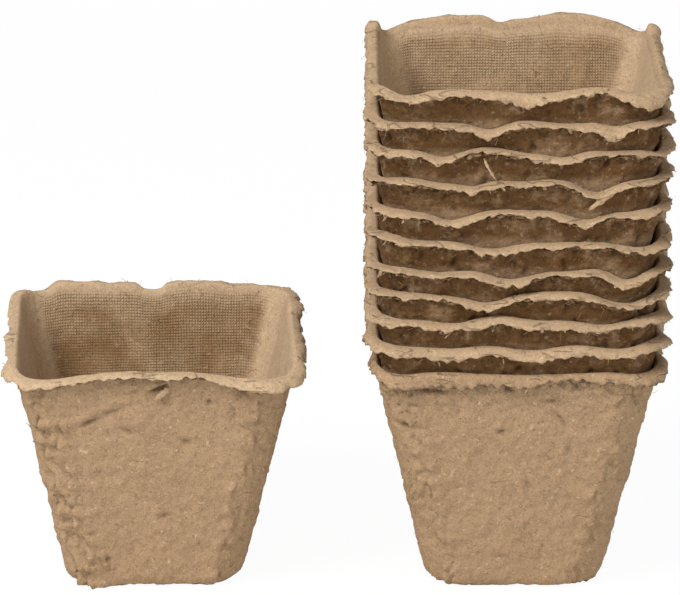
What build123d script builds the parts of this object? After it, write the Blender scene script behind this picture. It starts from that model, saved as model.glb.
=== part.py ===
from build123d import *

import os
from math import cos, pi, radians, sin, sqrt

# A set of square peat pots: one pot standing alone beside a nested stack of the same pot.
# Each pot is one thin moulded shell: a square cup with rounded corners that tapers to its foot,
# and a lip folded outwards all round the mouth, torn to a wandering edge.
# Millimetres, +Z up. The origin is the middle of the foot of the lowest pot in the stack.

# The moulded cup
rim_width = 81.0  # across the mouth, over the lip
foot_width = 46.0  # outside of the wall at the foot
pot_height = 66.5  # foot to the highest part of the fold
wall = 1.2  # through the side wall, measured level
floor = 1.8
corner = 10.0  # outside radius of the upright corners
foot_bevel = 2.0  # level width of the bevel round the foot

# The folded lip
lip_reach = 3.5  # how far the lip stands out from the wall
lip_drop = 2.0  # how far the lip hangs below the fold at its widest
lip_thickness = 1.2  # measured upright
fold_cover = 0.3  # level top of the lip outside the wall

# The torn edge of the lip and the dips where the fold sags
tear_depth = 2.4  # how far the edge wanders in from the full rim
tear_points = 26
long_tears, long_share = 8, 0.3  # waves in one turn of the edge, and their share of the depth
short_tears, short_share = 11, 0.2
long_shift, short_shift = 2.4, 1.1  # radians from one pot to the next
dip_depth = 2.0
dip_radius = 24.0
dip_share = 0.2  # of the fold's width, how far a dip strays from the middle of its side
side_shift = 1.7  # radians from one side's dip to the next

# The set
# Level gap between the walls of each pot and the one nested in it, from the lowest pair up
nest_fits = (0.34, 0.40, 0.21, 0.16, 0.39, 0.53, 0.50, 0.50, 0.34, 0.43)
single_gap = 14.2  # between the full rims of the lone pot and the stack
single_forward = 1.5
single_turn = 2.5  # degrees, seen from above

fold_width = rim_width - 2 * lip_reach  # outside of the wall where the lip folds out
lip_slope = lip_drop / lip_reach
wall_slope = (fold_width - foot_width) / 2 / pot_height


def across_corners(width):
    """Width of a rounded square from one rounded corner to the opposite one."""
    return sqrt(2) * (width - 2 * corner) + 2 * corner


def block(plane, low_width, high_width, height):
    """A flat-sided square block on a plane that widens or narrows evenly to its top."""
    profile = [
        (-low_width / 2, 0),
        (low_width / 2, 0),
        (high_width / 2, height),
        (-high_width / 2, height),
    ]
    front = Plane(plane.origin, x_dir=plane.x_dir, z_dir=-plane.y_dir)
    side = Plane(plane.origin, x_dir=plane.y_dir, z_dir=plane.x_dir)
    with BuildPart() as form:
        for view, mode in ((front, Mode.ADD), (side, Mode.INTERSECT)):
            with BuildSketch(view):
                Polygon(*profile, align=None)
            extrude(amount=max(low_width, high_width) / 2, both=True, mode=mode)
    return form.part


def eight_sided(plane, low_width, high_width, square_width, height):
    """A block with its corners cut off where the rounded corners of a square would be."""
    corner_extra = across_corners(square_width) - square_width
    with BuildPart() as form:
        add(block(plane, low_width, high_width, height))
        turned = plane.rotated((0, 0, 45))
        cut = block(turned, low_width + corner_extra, high_width + corner_extra, height)
        add(cut, mode=Mode.INTERSECT)
    return form.part


def cup(plane, low_width, height, radius):
    """A tapering block with rounded upright corners."""
    with BuildPart() as form:
        add(block(plane, low_width, low_width + 2 * wall_slope * height, height))
        fillet(form.edges().group_by(Axis.Z)[1], radius)
    return form.part


def sagged(form, base, number, drop):
    """A form with its top cut down to the dips in the fold, one on each side, or a drop below them."""
    lowest = pot_height - dip_depth - drop
    with BuildPart() as dipped:
        add(form)
        for side in range(4):
            stray = dip_share * fold_width * sin(long_shift * number + side_shift * side)
            facing = base.rotated((0, 0, 90 * side)).offset(lowest + dip_radius)
            middle = facing.from_local_coords((stray, 0, 0))
            with BuildSketch(Plane(middle, x_dir=facing.x_dir, z_dir=facing.y_dir)):
                Circle(dip_radius)
            extrude(amount=rim_width, mode=Mode.SUBTRACT)
    return dipped.part


def lip_form(base, number, drop):
    """The sloping top of the lip, or its underside, which lies a drop lower."""
    inner_width = fold_width + 2 * (fold_cover - wall)
    outer_width = rim_width + 2 * lip_thickness
    height = (outer_width - inner_width) / 2 * lip_slope
    top = pot_height - drop + wall * lip_slope
    slope = eight_sided(base.offset(top - height), outer_width, inner_width, fold_width, height)
    return sagged(slope, base, number, drop)


def torn_edge(number):
    """Points of the lip's torn outline, a different wander on every pot."""
    with BuildSketch() as full_rim:
        RectangleRounded(rim_width, rim_width, corner + lip_reach)
    outline = full_rim.sketch.wire()
    points = []
    for k in range(tear_points):
        turn = k / tear_points
        long_tear = long_share * sin(2 * pi * long_tears * turn + long_shift * number)
        short_tear = short_share * sin(2 * pi * short_tears * turn + short_shift * number)
        inwards = tear_depth * (long_share + short_share + long_tear + short_tear)
        along = outline.tangent_at(turn)
        points.append(outline.position_at(turn) + inwards * Vector(-along.Y, along.X))
    return points


def outside_form(base, number):
    """The outside of the cup, with a bevel round its foot and its top at the sagging fold."""
    bevel_width = foot_width - 2 * foot_bevel
    with BuildPart() as form:
        add(cup(base, foot_width, pot_height, corner))
        bevel = eight_sided(base, bevel_width, bevel_width + 2 * pot_height, foot_width, pot_height)
        add(bevel, mode=Mode.INTERSECT)
    return sagged(form.part, base, number, 0)


def inside_form(base):
    """The hollow of the cup, one wall in from its outside and open past the top of the fold."""
    floor_width = foot_width + 2 * (wall_slope * floor - wall)
    height = pot_height - floor + lip_thickness
    return cup(base.offset(floor), floor_width, height, corner - wall)


def peat_pot(name, base, number):
    """Build one pot standing on the base plane and write it to its own file."""
    lip_top = lip_form(base, number, 0)
    lip_underside = lip_form(base, number, lip_thickness)
    edge_points = torn_edge(number)
    outside = outside_form(base, number)
    inside = inside_form(base)
    with BuildPart() as pot:
        # Lip: a sloping skirt round the mouth, hollow underneath, torn to its outline
        add(lip_top)
        add(lip_underside, mode=Mode.SUBTRACT)
        with BuildSketch(base):
            with BuildLine():
                Polyline(*edge_points, close=True)
            make_face()
        extrude(amount=pot_height, dir=base.z_dir, mode=Mode.INTERSECT)

        # Cup: tapering wall and floor
        add(outside)
        add(inside, mode=Mode.SUBTRACT)
    pot.part.label = name
    export_step(pot.part, f"parts/{name}.step")


os.makedirs("parts", exist_ok=True)

turn = radians(single_turn)
single_place = (-rim_width - single_gap, single_forward, 0)
peat_pot("single_pot", Plane(single_place, x_dir=(cos(turn), sin(turn), 0)), 0)

seat = 0.0
peat_pot("stack_pot_01", Plane.XY, 1)
for number, fit in enumerate(nest_fits, start=2):
    seat += (wall + fit) / wall_slope
    peat_pot(f"stack_pot_{number:02d}", Plane.XY.offset(seat), number)
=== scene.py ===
import math

import bpy
import numpy as np
from mathutils import Matrix, Vector


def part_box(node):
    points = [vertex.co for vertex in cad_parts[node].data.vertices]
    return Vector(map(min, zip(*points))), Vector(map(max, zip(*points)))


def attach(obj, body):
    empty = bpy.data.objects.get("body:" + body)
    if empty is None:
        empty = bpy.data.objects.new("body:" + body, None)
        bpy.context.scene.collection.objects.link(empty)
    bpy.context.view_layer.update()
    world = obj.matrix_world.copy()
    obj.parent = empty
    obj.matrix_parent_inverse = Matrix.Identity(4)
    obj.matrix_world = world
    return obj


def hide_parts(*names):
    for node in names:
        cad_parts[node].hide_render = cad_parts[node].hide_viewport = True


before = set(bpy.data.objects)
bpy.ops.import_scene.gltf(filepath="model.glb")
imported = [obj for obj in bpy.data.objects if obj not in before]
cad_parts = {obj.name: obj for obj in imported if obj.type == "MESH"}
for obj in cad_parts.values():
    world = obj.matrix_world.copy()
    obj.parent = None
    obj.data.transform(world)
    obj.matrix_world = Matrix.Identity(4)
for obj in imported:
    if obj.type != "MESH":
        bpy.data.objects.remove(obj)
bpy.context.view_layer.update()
mm = 0.001


# node helpers, shared by the geometry trees and the materials

def join(tree, value, socket):
    if isinstance(value, bpy.types.NodeSocket):
        tree.links.new(value, socket)
    else:
        socket.default_value = value


def put(tree, kind, given=None, **settings):
    node = tree.nodes.new(kind)
    for name, value in settings.items():
        setattr(node, name, value)
    for name, value in (given or {}).items():
        join(tree, value, node.inputs[name])
    return node


def calc(tree, operation, *values, clamp=False):
    node = put(tree, "ShaderNodeMath", operation=operation, use_clamp=clamp)
    for value, socket in zip(values, node.inputs):
        join(tree, value, socket)
    return node.outputs[0]


def arrow(tree, operation, first, second):
    node = put(tree, "ShaderNodeVectorMath", operation=operation)
    join(tree, first, node.inputs[0])
    join(tree, second, node.inputs["Scale" if operation == "SCALE" else 1])
    return node.outputs["Vector"]


def noise(tree, spot, scale, detail=2.0, roughness=0.55, distortion=0.0):
    return put(tree, "ShaderNodeTexNoise", {
        "Vector": spot, "Scale": scale, "Detail": detail, "Roughness": roughness,
        "Distortion": distortion}).outputs["Fac"]


def ramp(tree, value, low, high):
    node = put(tree, "ShaderNodeMapRange", {"Value": value, "From Min": low, "From Max": high})
    return node.outputs["Result"]


def blend(tree, share, first, second):
    node = put(tree, "ShaderNodeMix", data_type="RGBA")
    for value, place in ((share, 0), (first, 6), (second, 7)):
        join(tree, value, node.inputs[place])
    return node.outputs[2]


def readFact(tree, name):
    node = put(tree, "GeometryNodeInputNamedAttribute", {"Name": name}, data_type="FLOAT")
    return node.outputs["Attribute"]


def startMaterial(name, roughness, specular):
    material = bpy.data.materials.new(name)
    material.use_nodes = True
    tree = material.node_tree
    shader = tree.nodes["Principled BSDF"]
    shader.inputs["Roughness"].default_value = roughness
    shader.inputs["Specular IOR Level"].default_value = specular
    return material, tree, shader


def startTree(name, sockets):
    tree = bpy.data.node_groups.new(name, "GeometryNodeTree")
    tree.interface.new_socket("Geometry", in_out="INPUT", socket_type="NodeSocketGeometry")
    for label, kind, value in sockets:
        socket = tree.interface.new_socket(label, in_out="INPUT", socket_type="NodeSocket" + kind)
        if value is not None:
            socket.default_value = value
    tree.interface.new_socket("Geometry", in_out="OUTPUT", socket_type="NodeSocketGeometry")
    return tree, tree.nodes.new("NodeGroupInput").outputs, tree.nodes.new("NodeGroupOutput").inputs


def addTree(piece, tree, values):
    modifier = piece.modifiers.new(tree.name, "NODES")
    modifier.node_group = tree
    for item in tree.interface.items_tree:
        if item.in_out == "INPUT" and item.name in values:
            modifier[item.identifier] = values[item.name]


# moulded pulp: tan felt with flecks, chips and hairs, and inside it the print of the forming mesh

pulpLook = {
    "felt": (0.322, 0.212, 0.121, 1),
    "pale": (0.56, 0.41, 0.262, 1),
    # deep is the brown of the blotches and also tints the painted shade in the mesh-print grooves; hollow is the
    # colour of the painted shade under the lips
    "deep": (0.265, 0.153, 0.068, 1),
    "hollow": (0.18, 0.085, 0.028, 1),
    "fleck": (0.11, 0.060, 0.027, 1),
    "weavePitch": 0.755 * mm,
    "weaveDepth": 0.22 * mm,
}


def pulpMaterial(name, look):
    material, tree, shader = startMaterial(name, 0.94, 0.12)
    spot = put(tree, "ShaderNodeTexCoord").outputs["Object"]

    def m(operation, *values):
        return calc(tree, operation, *values)

    def field(scale, detail=2.0, roughness=0.55, shift=0.0, distortion=0.0):
        return noise(tree, arrow(tree, "ADD", spot, (shift,) * 3), scale, detail, roughness, distortion)

    def painted(attribute):
        return put(tree, "ShaderNodeAttribute", attribute_name=attribute).outputs["Fac"]

    def ribs(attribute):
        place = m("ADD", painted(attribute), wobble)
        return m("ABSOLUTE", m("SINE", m("MULTIPLY", place, math.pi / look["weavePitch"])))

    def lines(value, wide, narrow):
        return ramp(tree, m("ABSOLUTE", m("SUBTRACT", value, 0.5)), wide, narrow)

    # the forming mesh leaves rows of small pillows
    wobble = m("MULTIPLY", m("SUBTRACT", field(160, 1, shift=0.3), 0.5), 0.6 * mm)
    pillow = m("MULTIPLY", ribs("acrossSide"), ribs("upSide"))
    worn = m("MULTIPLY_ADD", ramp(tree, field(95, shift=0.7), 0.3, 0.5), 0.5, 0.5)
    # the grooves between the pillows are darkened and tinted brown below as painted shade, besides their bump
    groove = m("MULTIPLY", m("SUBTRACT", 1.0, pillow), m("MULTIPLY", painted("weave"), worn))

    # small marks: grit, chips, hairs and brown blotches of the pulp; pits, splits along the lip and sunken
    # tears, darkened with painted shade; and painted shade under the lips
    grit = ramp(tree, field(1000, 1, shift=1.3), 0.66, 0.72)
    chip = ramp(tree, field(640, 1, shift=2.1), 0.66, 0.74)
    hair = m("MULTIPLY", lines(field(120, 1, 0.5, 3.2, 0.5), 0.008, 0.003),
             ramp(tree, field(240, 1, shift=4.4), 0.58, 0.66))
    pit = m("MULTIPLY", ramp(tree, field(520, 3, 0.6, 0.9), 0.50, 0.40), painted("ragged"))
    level = arrow(tree, "MULTIPLY", spot, (1.0, 1.0, 5.0))
    split = m("MULTIPLY", lines(noise(tree, level, 75, 2, 0.5, 0.3), 0.018, 0.006), painted("lipTop"))
    split = m("MULTIPLY", split, ramp(tree, field(150, 1, shift=7.1), 0.50, 0.58))
    sunk = ramp(tree, painted("gash"), -0.1, -0.7)
    brown = m("MULTIPLY", ramp(tree, field(70, 3, 0.55, 0.2, 0.4), 0.28, 0.60), painted("blotch"))
    # painted shade under the lips, broken up by noise
    stain = m("MULTIPLY", painted("stain"), ramp(tree, field(210, 3, 0.6, 8.0), 0.22, 0.50))

    fine, grain, cloud = field(2400, 2, 0.6), field(800, 3, 0.6, 5.0), field(120, 2, 0.5, 6.0)
    shade = m("MULTIPLY_ADD", grain, 0.52, m("MULTIPLY_ADD", cloud, 0.20, 0.19))
    shade = m("MULTIPLY_ADD", fine, 0.90, shade)
    # darkening as painted shade: under the lips, in the mesh-print grooves, in pits, in the furrows of tears and
    # in splits along the lip
    for share, mark in ((0.35, stain), (0.22, groove), (0.60, pit), (0.55, sunk), (0.30, split)):
        shade = m("MULTIPLY", shade, m("MULTIPLY_ADD", mark, -share, 1.0))
    colour = blend(tree, m("MULTIPLY", painted("smooth"), 0.58), look["felt"], look["pale"])
    # the hollow tint under the lips and the deep tint in the grooves are painted shade; the blotches, chips,
    # hairs and grit are the pulp's own colour
    for share, mark, tint in ((0.90, stain, "hollow"), (0.95, brown, "deep"), (0.30, groove, "deep"),
                              (0.40, chip, "pale"), (0.25, hair, "fleck"), (0.35, grit, "fleck")):
        colour = blend(tree, m("MULTIPLY", mark, share), colour, look[tint])
    join(tree, arrow(tree, "SCALE", colour, shade), shader.inputs["Base Color"])

    height = m("MULTIPLY_ADD", grain, 0.30 * mm, m("MULTIPLY", fine, 0.14 * mm))
    height = m("MULTIPLY", height, m("MULTIPLY_ADD", painted("smooth"), -0.5, 1.0))
    for depth, mark in ((-look["weaveDepth"], groove), (-0.15 * mm, hair), (-0.35 * mm, pit),
                        (-0.3 * mm, split), (0.08 * mm, chip)):
        height = m("MULTIPLY_ADD", mark, depth, height)
    bump = put(tree, "ShaderNodeBump", {"Height": height, "Strength": 1.0, "Distance": 1.0})
    join(tree, bump.outputs["Normal"], shader.inputs["Normal"])
    return material


def fibreMaterial(name, look):
    material, tree, shader = startMaterial(name, 0.9, 0.12)
    spot = put(tree, "ShaderNodeTexCoord").outputs["Object"]
    colour = blend(tree, noise(tree, spot, 260), look["felt"], look["pale"])
    join(tree, colour, shader.inputs["Base Color"])
    return material


pulp = pulpMaterial("mouldedPulp", pulpLook)
looseFibre = fibreMaterial("looseFibre", pulpLook)
print("materials made")


# the pot's shell: every point knows its place round the rim and along the profile, and the tree shapes it

potShape = {
    "Foot Width": 46.0 * mm,
    "Fold Width": 74.0 * mm,
    "Fold Height": 64.5 * mm,
    "Wall": 1.2 * mm,
    "Corner": 10.0 * mm,
    "Lip Thickness": 1.1 * mm,
}
floorThickness = 1.8
footRound = 3.2
foldHeight, foldHalf = potShape["Fold Height"] / mm, potShape["Fold Width"] / mm / 2
footHalf, cornerRadius = potShape["Foot Width"] / mm / 2, potShape["Corner"] / mm
flatSteps, cornerSteps = 88, 28
flatShare = flatSteps / (flatSteps + cornerSteps)
flatHalf = foldHalf - cornerRadius
bendLength = cornerRadius * math.pi / 2
sideLength = 2 * flatHalf + bendLength
rowDefaults = {
    "inset": 0.0, "lip": 0.0, "under": 0.0, "pole": 1.0, "rough": 1.0, "ragged": 0.0, "fuzz": 0.0,
    "shred": 0.0, "smooth": 0.0, "lipTop": 0.0, "stain": 0.0, "blotch": 0.0, "weave": 0.0, "crease": 0.0,
    "gash": 0.0,
}


def shellTree():
    sizes = [(name, "Float", value) for name, value in potShape.items()]
    sizes += [("Lip Reach", "Float", 2.5 * mm), ("Lip Hang", "Float", 1.0 * mm), ("Lumps", "Float", 0.7 * mm),
              ("Pulp", "Float", 0.5 * mm), ("Ragged", "Float", 1.6 * mm), ("Creases", "Float", 1.5 * mm),
              ("Gash Depth", "Float", 1.0 * mm), ("Lean", "Vector", None), ("Seed", "Float", 1.0)]
    tree, given, made = startTree("peatPotShell", sizes + [("Material", "Material", None)])

    def m(operation, *values, clamp=False):
        return calc(tree, operation, *values, clamp=clamp)

    def fact(name):
        return readFact(tree, name)

    def swing(spot, scale, detail, size):
        return m("MULTIPLY", m("MULTIPLY_ADD", noise(tree, spot, scale, detail, 0.6), 2.0, -1.0), size)

    def keep(mesh, name, value):
        given = {"Geometry": mesh.outputs[0], "Name": name, "Value": value}
        return put(tree, "GeometryNodeStoreNamedAttribute", given, data_type="FLOAT", domain="POINT")

    level, inset, lip, under, pole = (fact(name) for name in ("level", "inset", "lip", "under", "pole"))
    side = m("FLOOR", fact("turn"))
    along = m("SUBTRACT", fact("turn"), side)
    flat = m("DIVIDE", along, flatShare, clamp=True)
    bend = m("DIVIDE", m("SUBTRACT", along, flatShare), 1 - flatShare, clamp=True)
    bend = m("MULTIPLY", bend, math.pi / 2)

    # rounded square section at this level
    taper = m("MULTIPLY", m("SUBTRACT", given["Fold Width"], given["Foot Width"]), 0.5)
    inwards = m("MULTIPLY", inset, given["Wall"])
    half = m("SUBTRACT", m("MULTIPLY_ADD", taper, level, m("MULTIPLY", given["Foot Width"], 0.5)), inwards)
    radius = m("SUBTRACT", given["Corner"], inwards)
    core = m("SUBTRACT", half, radius)
    run = m("MULTIPLY", m("MULTIPLY_ADD", flat, 2.0, -1.0), core)

    # the lip curls over from the fold, its underside one thickness below
    curl = m("MULTIPLY", lip, math.pi / 2)
    sinCurl, cosCurl = m("SINE", curl), m("COSINE", curl)
    torn = m("MULTIPLY", fact("tear"), lip)
    reach = m("ADD", m("ADD", given["Lip Reach"], fact("flare")), torn)
    hang = m("ADD", m("ADD", given["Lip Hang"], fact("hang")), torn)
    lean, lift = m("MULTIPLY", hang, sinCurl), m("MULTIPLY", reach, cosCurl)
    slant = m("SQRT", m("ADD", m("ADD", m("MULTIPLY", lean, lean), m("MULTIPLY", lift, lift)), 1e-9))
    thick = m("DIVIDE", m("MULTIPLY", under, given["Lip Thickness"]), slant)
    out = m("SUBTRACT", m("MULTIPLY", reach, sinCurl), m("MULTIPLY", thick, lean))
    down = m("ADD", m("MULTIPLY", hang, m("SUBTRACT", 1.0, cosCurl)), m("MULTIPLY", thick, lift))

    # sags in the fold fade out down the wall
    share = m("POWER", m("MULTIPLY_ADD", level, 5.0, -4.0, clamp=True), 2.0)
    drop = m("MULTIPLY_ADD", fact("sag"), share, down)
    ring = m("MULTIPLY_ADD", radius, pole, out)
    place = put(tree, "ShaderNodeCombineXYZ", {
        "X": m("MULTIPLY_ADD", run, pole, m("MULTIPLY", m("SINE", bend), ring)),
        "Y": m("MULTIPLY", m("MULTIPLY_ADD", core, pole, m("MULTIPLY", m("COSINE", bend), ring)), -1.0),
        "Z": m("SUBTRACT", m("MULTIPLY", level, given["Fold Height"]), drop)})
    turned = put(tree, "ShaderNodeVectorRotate", {
        "Vector": place.outputs[0], "Angle": m("MULTIPLY", side, math.pi / 2)}, rotation_type="Z_AXIS")
    leaning = arrow(tree, "SCALE", given["Lean"], m("SUBTRACT", 1.0, level))
    mesh = put(tree, "GeometryNodeSetPosition", {
        "Geometry": given["Geometry"], "Position": arrow(tree, "ADD", turned.outputs[0], leaning)})

    # relief: broad lumps, pulp grain, ragged undersides, gashes, and torn layers that step like flaps
    here = put(tree, "GeometryNodeInputPosition").outputs[0]
    spot = arrow(tree, "ADD", here, arrow(tree, "SCALE", (0.13, 0.29, 0.41), given["Seed"]))
    relief = m("ADD", swing(spot, 105, 2, given["Lumps"]), swing(spot, 420, 4, given["Pulp"]))
    layers = noise(tree, arrow(tree, "MULTIPLY", spot, (1.0, 1.0, 0.55)), 120, 3, 0.55, 0.6)
    steps = m("SUBTRACT", m("FRACT", m("MULTIPLY", layers, 6.0)), 0.5)
    flaps = m("MULTIPLY", m("MULTIPLY", steps, given["Creases"]), fact("crease"))
    push = m("MULTIPLY_ADD", relief, fact("rough"), flaps)
    push = m("MULTIPLY_ADD", swing(spot, 560, 3, given["Ragged"]), fact("ragged"), push)
    push = m("MULTIPLY_ADD", fact("gash"), given["Gash Depth"], push)
    normal = put(tree, "GeometryNodeInputNormal").outputs[0]
    mesh = put(tree, "GeometryNodeSetPosition", {
        "Geometry": mesh.outputs[0], "Offset": arrow(tree, "SCALE", normal, push)})

    # the mesh print is measured along the front and back and up from the foot
    mesh = keep(mesh, "acrossSide", m("MULTIPLY_ADD", fact("meshFlat"), core, fact("meshBend")))
    mesh = keep(mesh, "upSide", m("MULTIPLY", level, given["Fold Height"]))
    mesh = put(tree, "GeometryNodeSetShadeSmooth", {"Geometry": mesh.outputs[0]})
    mesh = put(tree, "GeometryNodeRealizeInstances", {"Geometry": mesh.outputs[0]})
    mesh = put(tree, "GeometryNodeSetMaterial", {"Geometry": mesh.outputs[0], "Material": given["Material"]})
    join(tree, mesh.outputs[0], made["Geometry"])
    return tree


# loose fibres, crumbs and hanging shreds of pulp on the torn places; then the pot is set down on its seat

fibreShapes = [  # start, middle and end of a fibre, in millimetres, lying along X
    ((0, 0, -0.1), (1.2, 0.5, 0.9), (2.8, -0.2, 0.35)),
    ((0, 0, -0.1), (0.9, -0.7, 1.1), (1.9, 0.9, 0.7)),
    ((0, 0, -0.1), (1.6, 0.9, 0.5), (3.4, 1.3, 0.15)),
]
scrapShapes = [(1.4, 0.6, 0.20), (0.9, 0.7, 0.28), (1.8, 0.4, 0.20)]  # length, breadth and thickness
scrapBend = 150.0  # drop per squared length, by the metre


def fuzzTree():
    tree, given, made = startTree("looseFuzz", [
        ("Fibres", "Float", 1.5e5), ("Fibre Radius", "Float", 0.06 * mm), ("Crumbs", "Float", 1.1e5),
        ("Shreds", "Float", 1.8e4), ("Seed", "Int", 1), ("Material", "Material", None),
        ("Scrap Material", "Material", None), ("Low", "Vector", None), ("High", "Vector", None),
        ("Turn", "Vector", None), ("Place", "Vector", None)])

    def chance(low, high, seed, kind="FLOAT_VECTOR"):
        node = put(tree, "FunctionNodeRandomValue", data_type=kind)
        first = {"FLOAT_VECTOR": 0, "INT": 4}[kind]
        node.inputs[first].default_value = low
        node.inputs[first + 1].default_value = high
        join(tree, calc(tree, "ADD", given["Seed"], seed), node.inputs["Seed"])
        return node.outputs[{"FLOAT_VECTOR": 0, "INT": 2}[kind]]

    def scatter(shapes, density, where, seed, small, large, hanging=False):
        points = put(tree, "GeometryNodeDistributePointsOnFaces", {
            "Mesh": given["Geometry"], "Density": calc(tree, "MULTIPLY", readFact(tree, where), density),
            "Seed": calc(tree, "ADD", given["Seed"], seed)})
        spin = put(tree, "FunctionNodeRotateRotation", {
            "Rotation": points.outputs["Rotation"],
            "Rotate By": chance((-0.3, -0.6, -3.14), (0.3, 0.3, 3.14), seed + 1)}, rotation_space="LOCAL")
        if hanging:
            spin = put(tree, "FunctionNodeAlignRotationToVector", {
                "Rotation": spin.outputs[0],
                "Vector": chance((-0.9, -0.7, -1.0), (0.9, 0.7, -0.3), seed + 4)}, axis="X")
        grown = put(tree, "GeometryNodeInstanceOnPoints", {
            "Points": points.outputs["Points"], "Instance": shapes, "Pick Instance": True,
            "Instance Index": chance(0, 2, seed + 2, "INT"), "Rotation": spin.outputs[0],
            "Scale": chance((small,) * 3, (large,) * 3, seed + 3)})
        return put(tree, "GeometryNodeRealizeInstances", {"Geometry": grown.outputs[0]})

    def choice(parts):
        group = put(tree, "GeometryNodeJoinGeometry")
        for part in parts:
            single = put(tree, "GeometryNodeGeometryToInstance", {"Geometry": part.outputs[0]})
            join(tree, single.outputs[0], group.inputs[0])
        return group.outputs[0]

    def fibre(points):
        start, middle, end = (tuple(value * mm for value in point) for point in points)
        path = put(tree, "GeometryNodeCurveQuadraticBezier", {
            "Resolution": 6, "Start": start, "Middle": middle, "End": end})
        return put(tree, "GeometryNodeCurveToMesh", {
            "Curve": path.outputs[0], "Profile Curve": thread.outputs["Curve"], "Fill Caps": True})

    def scrap(number, squash):
        ball = put(tree, "GeometryNodeMeshIcoSphere", {"Radius": 1.0 * mm, "Subdivisions": 2})
        here = put(tree, "GeometryNodeInputPosition").outputs[0]
        torn = noise(tree, arrow(tree, "ADD", here, (number, 0, 0)), 1200, 2)
        push = arrow(tree, "SCALE", here, calc(tree, "MULTIPLY_ADD", torn, 3.4, -1.7))
        ball = put(tree, "GeometryNodeSetPosition", {"Geometry": ball.outputs["Mesh"], "Offset": push})
        ball = put(tree, "GeometryNodeTransform", {
            "Geometry": ball.outputs[0], "Scale": squash, "Translation": (0.7 * squash[0] * mm, 0, 0)})
        spot = put(tree, "GeometryNodeInputPosition").outputs[0]
        x = put(tree, "ShaderNodeSeparateXYZ", {"Vector": spot}).outputs[0]
        fall = put(tree, "ShaderNodeCombineXYZ", {
            "Z": calc(tree, "MULTIPLY", calc(tree, "MULTIPLY", x, x), scrapBend)})
        return put(tree, "GeometryNodeSetPosition", {"Geometry": ball.outputs[0], "Offset": fall.outputs[0]})

    thread = put(tree, "GeometryNodeCurvePrimitiveCircle", {"Resolution": 3, "Radius": given["Fibre Radius"]})
    fibres = choice([fibre(points) for points in fibreShapes])
    scraps = choice([scrap(number, squash) for number, squash in enumerate(scrapShapes)])
    hairs = scatter(fibres, given["Fibres"], "fuzz", 11, 0.2, 0.9)
    crumbs = scatter(scraps, given["Crumbs"], "fuzz", 31, 0.15, 0.5)
    shreds = scatter(scraps, given["Shreds"], "shred", 51, 0.3, 0.9, hanging=True)
    every = put(tree, "GeometryNodeJoinGeometry")
    join(tree, given["Geometry"], every.inputs[0])
    for part, material in ((hairs, "Material"), (crumbs, "Scrap Material"), (shreds, "Scrap Material")):
        part = put(tree, "GeometryNodeSetShadeSmooth", {"Geometry": part.outputs[0]})
        part = put(tree, "GeometryNodeStoreNamedAttribute", {
            "Geometry": part.outputs[0], "Name": "smooth", "Value": 0.35}, data_type="FLOAT", domain="POINT")
        part = put(tree, "GeometryNodeSetMaterial", {
            "Geometry": part.outputs[0], "Material": given[material]})
        join(tree, part.outputs[0], every.inputs[0])
    every = put(tree, "GeometryNodeTransform", {
        "Geometry": every.outputs[0], "Translation": given["Place"], "Rotation": given["Turn"]})
    here = put(tree, "GeometryNodeInputPosition").outputs[0]
    kept = arrow(tree, "MAXIMUM", arrow(tree, "MINIMUM", here, given["High"]), given["Low"])
    every = put(tree, "GeometryNodeSetPosition", {"Geometry": every.outputs[0], "Position": kept})
    join(tree, every.outputs[0], made["Geometry"])
    return tree


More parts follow.
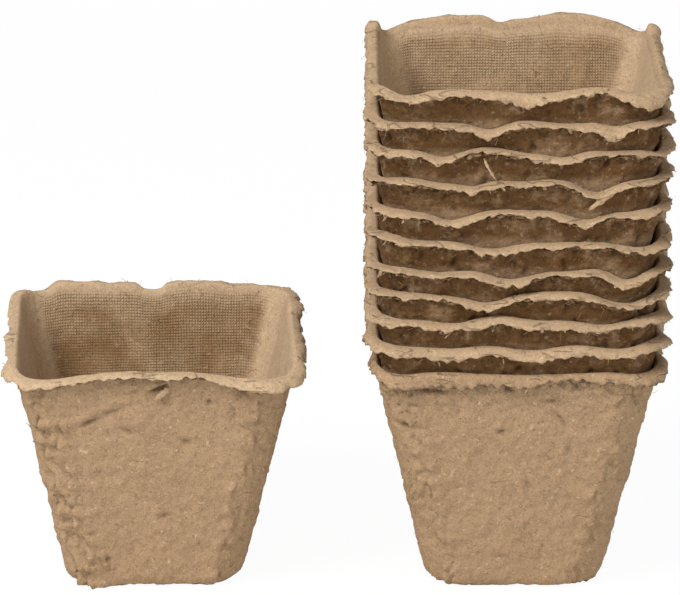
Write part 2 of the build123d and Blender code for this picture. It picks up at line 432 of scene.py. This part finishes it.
def profileRows(plan):
    rows = []
    under = foldHeight - potShape["Lip Thickness"] / mm

    def row(z, **facts):
        rows.append(dict(rowDefaults, level=z / foldHeight, **facts))

    for pole in np.linspace(0.08, 0.84, 7):
        row(0.35 * (1 - pole), pole=pole, rough=0.5)
    wallFacts = {"rough": plan["wallRough"], "crease": plan["wallRough"], "gash": 1.0}
    for bend in np.linspace(0, math.pi / 2, 6):
        pole = 1 - footRound * (1 - math.sin(bend)) / footHalf
        row(footRound * (1 - math.cos(bend)), pole=pole, **wallFacts)
    shown = foldHeight - plan["band"]
    for z in np.linspace(footRound, shown, plan["wallRows"], endpoint=False)[1:]:
        row(z, fuzz=plan["wallFuzz"], **wallFacts)
    # the band of wall just under the lip gets painted shade, strongest close under the lip, where the lip shades
    # it
    for z in np.linspace(shown, under, plan["bandRows"], endpoint=False):
        near = (z - shown) / (under - shown)
        row(z, rough=max(plan["wallRough"], plan["bandRough"]),
            ragged=plan["ragged"] * (0.2 + 0.8 * near ** 3), fuzz=plan["wallFuzz"] + 0.2 * near,
            stain=plan["bandShade"] * min(1.0, 3 * near), crease=max(plan["wallRough"], near),
            gash=min(1.0, 4 - 4 * near))
    # the lip's underside gets painted shade too
    for lip in np.linspace(0.05, 0.97, 8):
        row(foldHeight, lip=lip, under=1, ragged=plan["ragged"], fuzz=0.4 + 0.6 * lip, shred=lip ** 2,
            stain=0.6 * plan["bandShade"], crease=0.4)
    row(foldHeight, lip=1.0, under=0.5, ragged=0.5 * plan["ragged"], fuzz=1.0, shred=1.0, smooth=0.5)
    for lip in np.linspace(0.97, 0.08, 9):
        row(foldHeight, lip=lip, rough=0.45 + 0.5 * lip ** 2, ragged=0.35 * plan["ragged"] * lip ** 3,
            fuzz=0.3 * lip ** 3, smooth=0.9 * plan["lipPale"], lipTop=1.0)
    for inset, drop in ((0.15, -0.1), (0.42, -0.05), (0.66, 0.25), (0.84, 0.75), (0.95, 1.5)):
        row(foldHeight - drop, inset=inset, rough=0.3, smooth=plan["lipPale"], lipTop=1.0 - inset)
    deep = np.concatenate([np.linspace(2.4, 16, plan["mouthRows"]),
                           np.linspace(16, foldHeight - floorThickness - 2.4, plan["insideRows"])[1:]])
    for drop in deep:
        row(foldHeight - drop, inset=1, rough=plan["insideRough"], smooth=1.0,
            blotch=plan["blotch"] * np.clip(drop / 3 - 1, 0, 1),
            weave=np.clip((drop - plan["weaveTop"]) / 2.5, 0, 1))
    for rise, pole in ((1.1, 0.995), (0.4, 0.975), (0.1, 0.94)):
        row(floorThickness + rise, inset=1, pole=pole, rough=0.1, blotch=plan["blotch"], smooth=1.0)
    for pole in np.linspace(0.86, 0.08, 7):
        row(floorThickness, inset=1, pole=pole, rough=0.1, smooth=1.0)
    return {fact: np.array([row[fact] for row in rows]) for fact in rows[0]}


def wander(random, share, slow, fast, falloff):
    waves = np.arange(slow, fast + 1)
    sizes = random.normal(size=len(waves)) / (waves / slow) ** falloff
    phases = random.uniform(0, 2 * math.pi, len(waves))
    swings = np.sin(waves[:, None] * share[None, :] * 2 * math.pi + phases[:, None])
    curve = (sizes[:, None] * swings).sum(0)
    return curve / curve.std()


def fromMiddle(run, side, place):
    return (run - side * sideLength - flatHalf - place + 2 * sideLength) % (4 * sideLength) - 2 * sideLength


def lapCurves(plan):
    turn = np.arange(4 * (flatSteps + cornerSteps)) / (flatSteps + cornerSteps)
    along = turn % 1
    bend = np.clip((along - flatShare) / (1 - flatShare), 0, 1)
    run = np.floor(turn) * sideLength + np.clip(along / flatShare, 0, 1) * 2 * flatHalf + bend * bendLength
    share = run / (4 * sideLength)
    random = np.random.default_rng(plan["seed"])
    sag = plan["sagWander"] * wander(random, share, 5, 16, 0.7)
    hang = plan["hangWander"] * wander(random, share, 6, 40, 0.5)
    flare = 0.30 * wander(random, share, 6, 24, 0.5)
    tear = 0.18 * wander(random, share, 40, 115, 0.35) + 0.07 * wander(random, share, 115, 200, 0.2)
    for side, place, width, sagDepth, hangDepth, power in plan["droops"]:
        shape = np.exp(-np.abs(fromMiddle(run, side, place) / width) ** power)
        sag += sagDepth * shape
        hang += hangDepth * shape
        flare -= 0.12 * hangDepth * shape
    crease = np.full(len(turn), plan["creases"])
    for side, strength in enumerate(plan["cornerTears"]):
        corner = np.exp(-(fromMiddle(run, side, sideLength / 2) / 7.5) ** 4)
        middle = np.exp(-(fromMiddle(run, side, 0) / (0.5 * sideLength)) ** 8)
        crease += strength * corner
        flare += 0.5 * corner + plan["sideFlare"][side] * middle
    front, back = fromMiddle(run, 0, 0), fromMiddle(run, 2, 0)
    across = np.where(np.abs(front) < np.abs(back), front, back)
    flat = np.clip(across, -flatHalf, flatHalf)
    weave = np.clip((flatHalf + 6.5 - np.abs(across)) / 3, 0, 1)
    return {"turn": turn, "run": run, "sag": sag * mm, "hang": np.maximum(hang, 0.35 - plan["hang"]) * mm,
            "flare": np.maximum(flare, 0.5 - plan["reach"]) * mm, "tear": plan["tear"] * tear * mm,
            "crease": crease, "weave": weave, "meshFlat": flat / flatHalf, "meshBend": (across - flat) * mm}


# gashes are short folds, a furrow with a ridge beside it; seams are flaps of pulp lapped over a corner

def gashRelief(plan, z, run):
    random = np.random.default_rng(plan["seed"] + 100)
    low, high = np.array(plan["gashRange"]).T
    marks = list(plan["gashes"])
    for height, angle, length, depth in random.uniform(low, high, (plan["gashCount"], 4)):
        marks.append((random.integers(4), random.uniform(-34, 34), height, length, angle, depth))
    shrink = (footHalf + (foldHalf - footHalf) * z / foldHeight - cornerRadius) / flatHalf
    relief = np.zeros((len(z), len(run)))
    for side, place, height, length, angle, depth in marks:
        x = fromMiddle(run, side, place)[None, :] * shrink[:, None]
        rise = (z - height)[:, None]
        along = x * math.cos(angle) + rise * math.sin(angle)
        over = rise * math.cos(angle) - x * math.sin(angle)
        furrow = 0.6 * np.exp(-((over - 1.4) / 1.3) ** 2) - np.exp(-(over / 0.8) ** 2)
        relief += depth * np.exp(-(along / length) ** 2) * furrow
    for side, offset, strength, facing in plan["seams"]:
        line = offset + 0.9 * wander(random, z / foldHeight, 2, 9, 0.6)
        flap = strength * np.clip(0.6 + 0.6 * wander(random, z / foldHeight, 4, 16, 0.3), 0.05, 1.6)
        past = facing * (fromMiddle(run, side, sideLength / 2)[None, :] - line[:, None])
        lap = np.where(past > 0, np.exp(-np.abs(past) / 3.0), -0.4 * np.exp(-np.abs(past) / 1.0))
        relief += flap[:, None] * lap
    return relief


def shellMesh(name, plan, laps):
    rows = profileRows(plan)
    rowCount, columns = len(rows["level"]), len(laps["turn"])
    count = rowCount * columns + 2
    mesh = bpy.data.meshes.new(name)
    mesh.vertices.add(count)
    row = np.arange(rowCount - 1)[:, None] * columns
    left = np.arange(columns)[None, :]
    right = (left + 1) % columns
    above = row + columns
    quads = np.stack([row + left, row + right, above + right, above + left], axis=-1).reshape(-1)
    low, high = np.arange(columns), np.arange(columns) + (rowCount - 1) * columns
    lowFan = np.stack([low, np.full(columns, count - 2), np.roll(low, -1)], axis=-1)
    highFan = np.stack([high, np.roll(high, -1), np.full(columns, count - 1)], axis=-1)
    corners = np.concatenate([quads, lowFan.reshape(-1), highFan.reshape(-1)])
    quadCount, fanCount = len(quads) // 4, 2 * columns
    starts = np.concatenate([np.arange(quadCount) * 4, quadCount * 4 + np.arange(fanCount) * 3])
    mesh.loops.add(len(corners))
    mesh.loops.foreach_set("vertex_index", corners.astype(np.int32))
    mesh.polygons.add(quadCount + fanCount)
    mesh.polygons.foreach_set("loop_start", starts.astype(np.int32))
    mesh.update(calc_edges=True)

    def store(fact, values, ends):
        values = np.concatenate([np.broadcast_to(values, (rowCount, columns)).reshape(-1), ends])
        mesh.attributes.new(fact, "FLOAT", "POINT").data.foreach_set("value", values.astype(np.float32))

    z = rows["level"] * foldHeight
    grids = {fact: np.broadcast_to(values[:, None], (rowCount, columns)) for fact, values in rows.items()}
    grids["gash"] = grids["gash"] * gashRelief(plan, z, laps["run"])
    for fact in ("weave", "blotch"):
        grids[fact] = grids[fact] * laps["weave"]
    grids["crease"] = grids["crease"] * laps["crease"]
    outside = (rows["inset"] == 0) & (rows["lip"] == 0)
    for side, place, height, size, strength in plan["tornPatches"]:
        away = fromMiddle(laps["run"], side, place)[None, :] ** 2 + (z - height)[:, None] ** 2
        grids["crease"] = grids["crease"] + strength * np.exp(-away / size ** 2) * outside[:, None]
    for fact in ("turn", "sag", "hang", "flare", "tear", "meshFlat", "meshBend"):
        store(fact, laps[fact][None, :], [0, 0])
    for fact, values in rows.items():
        store(fact, grids[fact], [0, 0] if fact in ("pole", "gash") else values[[0, -1]])
    return mesh


# one plan for each pot, in millimetres; sides count from the front to the right, the back and the left
# droops: side, place along it, half width, sag of the fold, hang of the lip, squareness
# torn patches: side, place along it, height, size, strength; scraps: the points of a strip, its width
# gashes: side, place along it, height, length, angle, depth; seams: corner, offset, strength, facing

sideDroops = [(1, 5, 26, 0.0, 2.4, 8), (3, -5, 26, 0.0, 2.4, 8)]
# the band value sets the strength of the painted shade under the lips; the loose pot has none
nested = {
    "wallRough": 0.10, "wallFuzz": 0.0, "insideRough": 0.12, "ragged": 1.0, "band": 9.5, "bandRough": 0.7,
    "bandShade": 1.0, "wallRows": 12, "bandRows": 22, "mouthRows": 9, "insideRows": 9, "weaveTop": 5.5,
    "blotch": 0.2, "reach": 2.5, "hang": 0.8, "lipPale": 0.5, "sagWander": 0.30, "hangWander": 0.35,
    "tear": 0.8, "creases": 0.2, "cornerTears": (0.8, 0.8, 0.8, 0.8), "sideFlare": (0, 0, 0, 0), "droops": [],
    "tornPatches": [], "gashes": [], "gashCount": 44, "seams": [], "scraps": [],
    "gashRange": ((55.5, 61), (1.0, 2.1), (1.0, 2.6), (0.3, 0.9)),  # height, angle, length, depth
    "turn": 0.0, "place": (0.0, 0.0), "lean": (0.0, 0.0),
}
detailed = dict(
    nested, wallRough=1.0, wallFuzz=0.04, bandShade=0.0, wallRows=70, bandRows=14, creases=0.04,
    gashCount=60, gashRange=((5, 60), (0, 3.1), (0.8, 3.0), (0.15, 0.45)))
potPlans = {
    "single_pot": dict(
        detailed, seed=3, turn=2.5, place=(-95.2, 1.5), lean=(-1.0, -1.5), hang=1.0, lipPale=0.9,
        ragged=0.5, insideRough=0.5, mouthRows=20, insideRows=26, weaveTop=0.8, blotch=1.0,
        cornerTears=(0.4, 0.4, 0.4, 0.6),
        droops=[(0, 0, 40, 0.5, 0.0, 8), (0, -33, 9, 1.5, 1.2, 2), (0, 32, 13, 1.8, 2.2, 2),
                (0, -6, 4, -0.5, -0.4, 2), (1, 0, 30, 0.0, 1.0, 8), (3, 0, 30, 0.0, 1.0, 8),
                (1, 33, 5, -1.2, -0.6, 2), (2, 31, 3.5, 0.8, 0.3, 4), (2, 38, 5, -1.3, 0.0, 2),
                (2, 21, 7.5, -1.4, -0.5, 6), (2, 9, 5, -0.5, -0.2, 6), (2, 0.5, 3.3, 0.9, 0.6, 6),
                (2, -12, 9, -1.4, -0.5, 4), (2, -26, 7, -0.3, 0.0, 2), (2, -36, 7, 1.8, 0.0, 2)],
        tornPatches=[(0, 2, 57, 4, 0.5), (0, 24, 58, 5, 0.4), (0, -24, 6, 5, 0.6)],
        gashes=[(0, 1.0, 60.0, 3.0, 0.5, 1.3), (0, -20, 50, 3.5, 0.35, 1.0), (0, -13, 53, 3.0, 0.3, 0.6),
                (0, -8.5, 47.5, 2.5, -0.4, 0.6), (0, 24, 59, 2.5, -0.9, 0.9), (0, 27, 55, 4.0, -1.2, 0.6),
                (0, 23, 52, 3.0, -1.3, 0.5), (0, 15, 55.5, 1.0, -1.0, 0.9), (0, 9.5, 44, 2.0, -0.5, 0.6),
                (0, -23, 9, 0.9, 0.3, 1.0), (0, 4, 22, 1.6, 0.3, 0.5)],
        seams=[(3, 0.5, 1.9, 1), (3, 5.0, 0.9, 1), (0, -5.5, 0.6, -1)],
        scraps=[(((3.6, -35.8, 59.8), (2.0, -37.6, 58.8), (-0.6, -36.4, 56.6)), 2.6)]),
    "stack_pot_01": dict(
        detailed, seed=5, reach=2.2, hang=2.2, lipPale=0.0, bandRows=18, cornerTears=(0.4, 0.4, 0.4, 0.6),
        sideFlare=(-0.9, 0, 0, -1.5), tear=1.0, ragged=1.2,
        droops=[(1, 5, 26, 0.0, 2.0, 8), (0, -30, 5, 0.0, 2.0, 2), (0, -17, 6, 0.0, 2.0, 2),
                (0, 12, 6, 0.0, -0.8, 2), (0, 0, 6, 0.2, 1.0, 2), (0, 30, 7, 0.3, 0.6, 2)],
        tornPatches=[(0, -20, 57, 6, 0.5), (0, 16, 59, 5, 0.4)],
        gashes=[(0, -23.5, 59.5, 5.0, -0.1, 1.1), (0, -2.6, 60.5, 2.2, -0.6, 1.0), (0, 15.5, 61, 1.8, -0.9, 1.1),
                (0, -31, 49, 3.5, -0.1, 1.0), (0, -4.8, 47.5, 1.2, 0.4, 0.9), (0, 10, 56.5, 2.5, 0.1, 0.7),
                (0, 13, 51, 3.0, -0.9, 0.6), (0, -26, 36, 2.0, 1.2, 0.5)],
        seams=[(3, 4.5, 0.6, 1), (0, -5.0, 0.6, -1)]),
    "stack_pot_02": dict(
        nested, seed=7, hang=2.0, droops=sideDroops + [(0, -12, 9, 0.4, 0.5, 2), (0, 4, 8, 0.6, 0.3, 2)]),
    "stack_pot_03": dict(
        nested, seed=11, hang=1.6, droops=sideDroops + [(0, -16, 7, 0.9, 0.2, 2), (0, 20, 9, 1.2, 0.2, 2)]),
    "stack_pot_04": dict(
        nested, seed=13, droops=sideDroops + [(0, -8, 6, 2.0, 1.2, 2), (0, 26, 7, 2.2, 0.4, 2)]),
    "stack_pot_05": dict(
        nested, seed=17, droops=sideDroops + [(0, -2, 8, 2.6, 0.4, 2), (0, 27, 5, 3.2, 0.8, 2)]),
    "stack_pot_06": dict(
        nested, seed=19,
        droops=sideDroops + [(0, -7, 7, 1.8, 0.8, 2), (0, 30, 9, 2.0, 0.4, 2), (0, -36, 8, -1.4, 0, 2)]),
    "stack_pot_07": dict(
        nested, seed=23, droops=sideDroops + [(0, -18, 6, 2.2, 0.4, 2), (0, 16, 5.5, 2.6, 0.6, 2)]),
    "stack_pot_08": dict(
        nested, seed=29, droops=sideDroops + [(0, -11.5, 5, 2.2, 0.4, 2), (0, 19.5, 5.5, 2.6, 0.4, 2)],
        scraps=[(((24.0, -38.0, 62.2), (21.0, -39.5, 60.4), (17.4, -39.3, 57.4)), 3.0)]),
    "stack_pot_09": dict(
        nested, seed=31,
        droops=sideDroops + [(0, -20.5, 5, 1.6, 0.5, 2), (0, 11, 5.5, 2.7, 0.4, 2), (0, 37, 5, 1.2, 0, 2)],
        scraps=[(((-9.4, -38.2, 62.6), (-8.6, -39.4, 60.4), (-6.2, -39.2, 57.0)), 1.0)]),
    "stack_pot_10": dict(
        nested, seed=37, hang=1.1, droops=sideDroops + [(0, -7.9, 5, 2.3, 0.5, 2), (0, 24, 4, 1.3, 2.3, 2)]),
    "stack_pot_11": dict(
        nested, seed=41, hang=1.3, insideRough=0.35, mouthRows=20, insideRows=28, weaveTop=2.6, blotch=0.5,
        droops=sideDroops + [(0, 0, 40, -0.7, 0.0, 8), (0, -29.4, 5, 1.8, 0.5, 2), (0, 1.3, 7, 0.8, 1.8, 2),
                             (0, 32, 7, 0.8, 1.8, 2), (2, 13, 9, -2.2, -0.7, 3), (2, 3, 3.0, 1.4, 0.5, 2),
                             (2, -17, 10, -2.3, -0.7, 3), (2, -34, 5, 2.4, 0.3, 2), (2, -42, 2.0, -2.2, -0.4, 2),
                             (2, 33, 4, 1.8, 0.2, 2), (2, 40, 1.8, -2.4, -0.5, 2)]),
}


# a scrap is a thin strip along a bent line, with a ragged outline

scrapSteps, scrapSides = 12, 6
scrapThickness = 0.22


def scrapStrip(corners, width, random):
    start, middle, end = (Vector(corner) for corner in corners)
    points = []
    for share in np.linspace(0, 1, scrapSteps):
        spot = start * (1 - share) ** 2 + middle * 2 * share * (1 - share) + end * share ** 2
        heading = ((middle - start) * (1 - share) + (end - middle) * share).normalized()
        across = heading.cross(Vector((0, 1, 0))).normalized()
        through = heading.cross(across)
        breadth = width / 2 * math.sin(math.pi * (0.15 + 0.8 * share)) * random.uniform(0.5, 1.15)
        for angle in np.arange(scrapSides) / scrapSides * 2 * math.pi:
            sideways = across * breadth * math.cos(angle)
            points.append(spot + sideways + through * scrapThickness * math.sin(angle))
    return points


def makeScraps(node, plan, seat):
    random = np.random.default_rng(plan["seed"])
    points, faces = [], []
    for corners, width in plan["scraps"]:
        first = len(points)
        points += [seat @ (point * mm) for point in scrapStrip(corners, width, random)]
        rings = [list(range(first + step * scrapSides, first + (step + 1) * scrapSides))
                 for step in range(scrapSteps)]
        for lower, upper in zip(rings, rings[1:]):
            for place in range(scrapSides):
                beside = (place + 1) % scrapSides
                faces.append((lower[place], lower[beside], upper[beside], upper[place]))
        faces += [rings[0][::-1], rings[-1]]
    mesh = bpy.data.meshes.new(node + "Scraps")
    mesh.from_pydata(points, [], faces)
    mesh.shade_smooth()
    mesh.materials.append(pulp)
    smooth = np.full(len(points), 0.4, np.float32)
    mesh.attributes.new("smooth", "FLOAT", "POINT").data.foreach_set("value", smooth)
    piece = bpy.data.objects.new(node + "_scraps", mesh)
    bpy.context.collection.objects.link(piece)
    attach(piece, node)


def makePot(node, plan, shell, fuzz):
    low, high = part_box(node)
    laps = lapCurves(plan)
    piece = bpy.data.objects.new(node + "_shell", shellMesh(node + "Shell", plan, laps))
    bpy.context.collection.objects.link(piece)
    addTree(piece, shell, dict(potShape, **{
        "Lip Reach": plan["reach"] * mm, "Lip Hang": plan["hang"] * mm, "Seed": float(plan["seed"]),
        "Lean": (plan["lean"][0] * mm, plan["lean"][1] * mm, 0.0), "Material": pulp}))
    place = (plan["place"][0] * mm, plan["place"][1] * mm, low[2])
    turn = math.radians(plan["turn"])
    addTree(piece, fuzz, {
        "Seed": plan["seed"], "Material": looseFibre, "Scrap Material": pulp, "Low": tuple(low),
        "High": tuple(high), "Turn": (0.0, 0.0, turn), "Place": place})
    graph = bpy.context.evaluated_depsgraph_get()
    ready = piece.evaluated_get(graph)
    finished = bpy.data.meshes.new_from_object(ready, preserve_all_data_layers=True, depsgraph=graph)
    piece.modifiers.clear()
    piece.data = finished
    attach(piece, node)
    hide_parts(node)
    if plan["scraps"]:
        makeScraps(node, plan, Matrix.Translation(place) @ Matrix.Rotation(turn, 4, "Z"))
    print(node, len(finished.polygons), "faces")


shell, fuzz = shellTree(), fuzzTree()
for node, plan in potPlans.items():
    makePot(node, plan, shell, fuzz)


# floor, light and camera

stageLook = {"floor": (0.93, 0.93, 0.93, 1), "whiteShare": 0.96, "sky": 0.42}
lampTarget = (-0.04, 0, 0.06)
lamps = {  # place, size and power
    "keyLight": ((-0.70, -0.75, 1.05), 0.6, 22),
    "fillLight": ((0.8, -0.9, 0.5), 0.9, 4),
}
sensorWidth = 36.0
pictureWidth, focalPixels = 680, 4547
viewpoint = {
    "target": (-46.0 * mm, 0, 73.5 * mm),
    "distance": 1.2055,
    "pitch": math.radians(17.6),
    "lens": focalPixels * sensorWidth / pictureWidth,
}


def stageFloor(look):
    mesh = bpy.data.meshes.new("stageFloor")
    mesh.from_pydata([(-6, -6, 0), (6, -6, 0), (6, 9, 0), (-6, 9, 0)], [], [(0, 1, 2, 3)])
    floor = bpy.data.objects.new("stageFloor", mesh)
    bpy.context.collection.objects.link(floor)
    material, tree, shader = startMaterial("paleFloor", 1.0, 0.0)
    shader.inputs["Base Color"].default_value = look["floor"]
    white = put(tree, "ShaderNodeEmission", {"Color": (1, 1, 1, 1), "Strength": 1.0})
    seen = put(tree, "ShaderNodeLightPath").outputs["Is Camera Ray"]
    mixed = put(tree, "ShaderNodeMixShader", {"Fac": calc(tree, "MULTIPLY", seen, look["whiteShare"])})
    join(tree, shader.outputs[0], mixed.inputs[1])
    join(tree, white.outputs[0], mixed.inputs[2])
    join(tree, mixed.outputs[0], tree.nodes["Material Output"].inputs["Surface"])
    mesh.materials.append(material)


def skyLight(look):
    world = bpy.data.worlds.new("studio")
    bpy.context.scene.world = world
    world.use_nodes = True
    tree = world.node_tree
    back = tree.nodes["Background"]
    seen = put(tree, "ShaderNodeLightPath").outputs["Is Camera Ray"]
    strength = put(tree, "ShaderNodeMapRange", {"Value": seen, "To Min": look["sky"], "To Max": 1.0})
    join(tree, strength.outputs["Result"], back.inputs["Strength"])
    back.inputs["Color"].default_value = (1, 1, 1, 1)


def softBox(name, place, target, size, power):
    lamp = bpy.data.lights.new(name, "AREA")
    lamp.energy = power
    lamp.size = size
    holder = bpy.data.objects.new(name, lamp)
    bpy.context.collection.objects.link(holder)
    holder.location = place
    holder.rotation_euler = (Vector(target) - Vector(place)).to_track_quat("-Z", "Y").to_euler()


def photoCamera(target, distance, pitch, lens):
    camera = bpy.data.cameras.new("photoCamera")
    camera.sensor_fit = "HORIZONTAL"
    camera.sensor_width = sensorWidth
    camera.lens = lens
    camera.clip_end = 30.0
    holder = bpy.data.objects.new("photoCamera", camera)
    bpy.context.collection.objects.link(holder)
    forward = Vector((0, math.cos(pitch), -math.sin(pitch)))
    holder.location = Vector(target) - forward * distance
    holder.rotation_euler = forward.to_track_quat("-Z", "Y").to_euler()
    bpy.context.scene.camera = holder


stageFloor(stageLook)
skyLight(stageLook)
for name, (place, size, power) in lamps.items():
    softBox(name, place, lampTarget, size, power)
photoCamera(**viewpoint)
bpy.context.scene.view_settings.view_transform = "Standard"
print("stage made")
